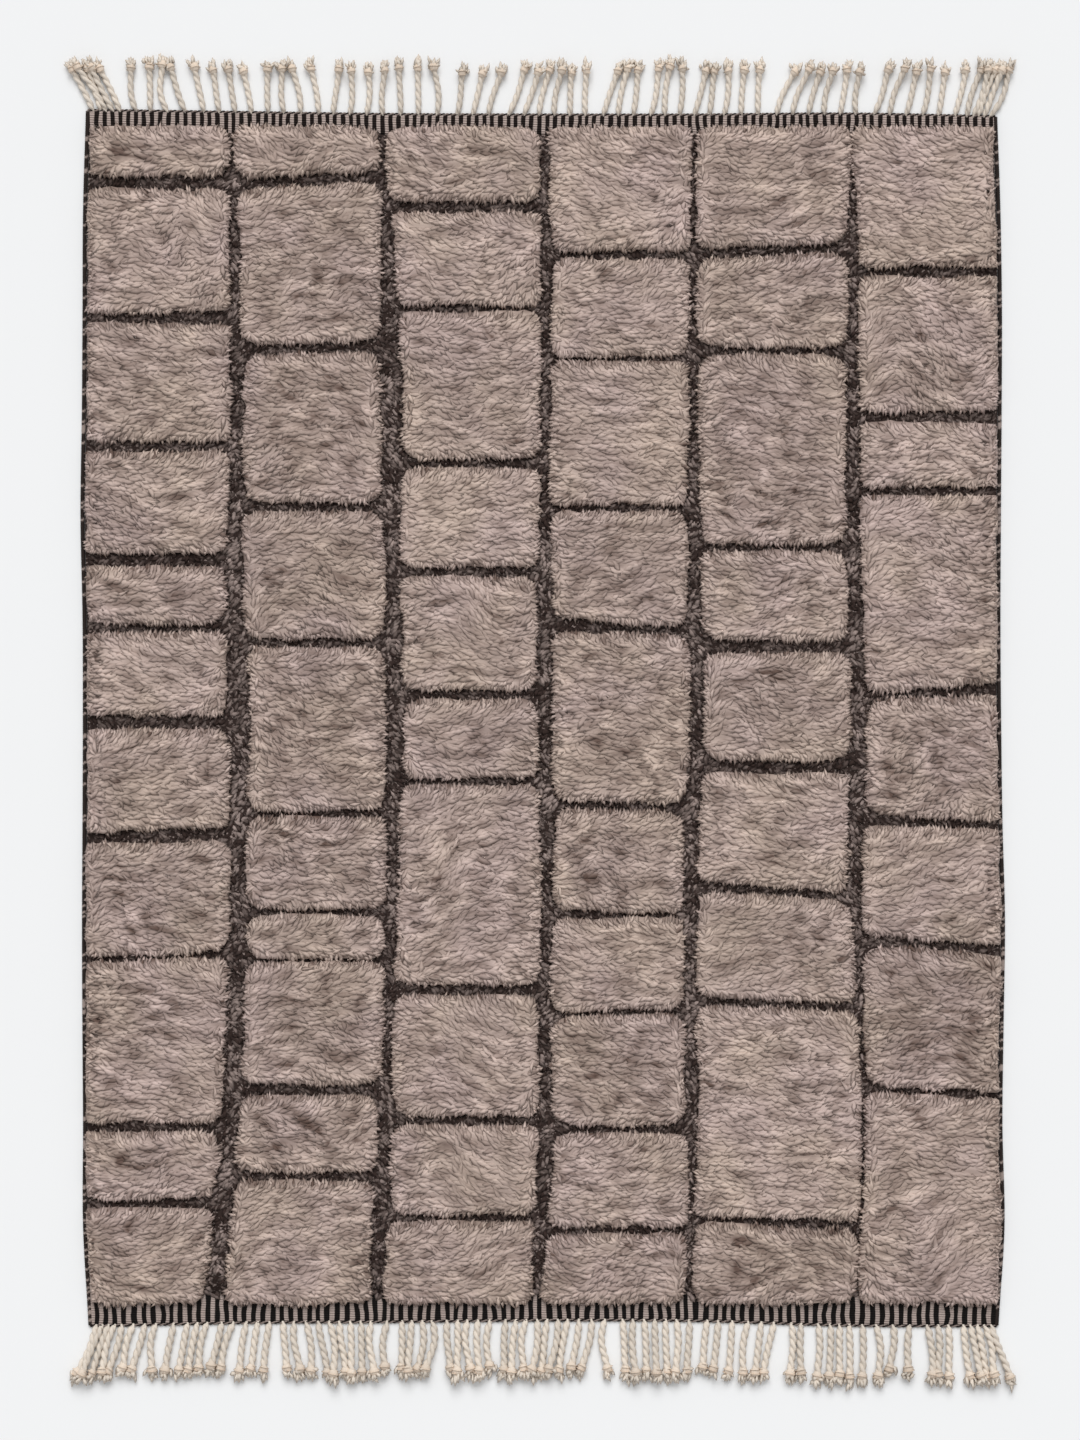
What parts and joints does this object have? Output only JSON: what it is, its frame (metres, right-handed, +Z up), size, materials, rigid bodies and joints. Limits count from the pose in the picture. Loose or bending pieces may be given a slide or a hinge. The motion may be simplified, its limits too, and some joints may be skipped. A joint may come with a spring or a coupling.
{
  "type": "beni mrirt rug",
  "caption": "Rectangular hand-knotted wool rug with thick pile blocks in relief, low channels between them, flat-woven striped ends and a knotted cord fringe at both ends.",
  "frame": {"origin": "on the floor, under the middle of the rug with its fringes", "axes": "+Z up, +Y along the rug towards the end that lies at the picture's top, +X to the picture's right"},
  "size_m": [1.8607, 2.6184, 0.0287],
  "materials": {
    "pile_wool": "taupe grey-brown hand-spun wool pile, matte with a soft sheen, combed in waves",
    "ground_wool": "short dark brown-charcoal wool with grey-taupe flecks",
    "band_weave": "flat weave in narrow stripes of near-black brown and taupe wool",
    "selvedge_wool": "dark wool overcasting with taupe turns",
    "fringe_yarn": "ivory plied wool cords, slightly yellowed at their knots"
  },
  "bodies": {
    "root": {"pile_field": "pile_wool", "end_band_top": "band_weave", "end_band_bottom": "band_weave", "selvedge_left": "selvedge_wool", "selvedge_right": "selvedge_wool"}
  },
  "joints": []
}
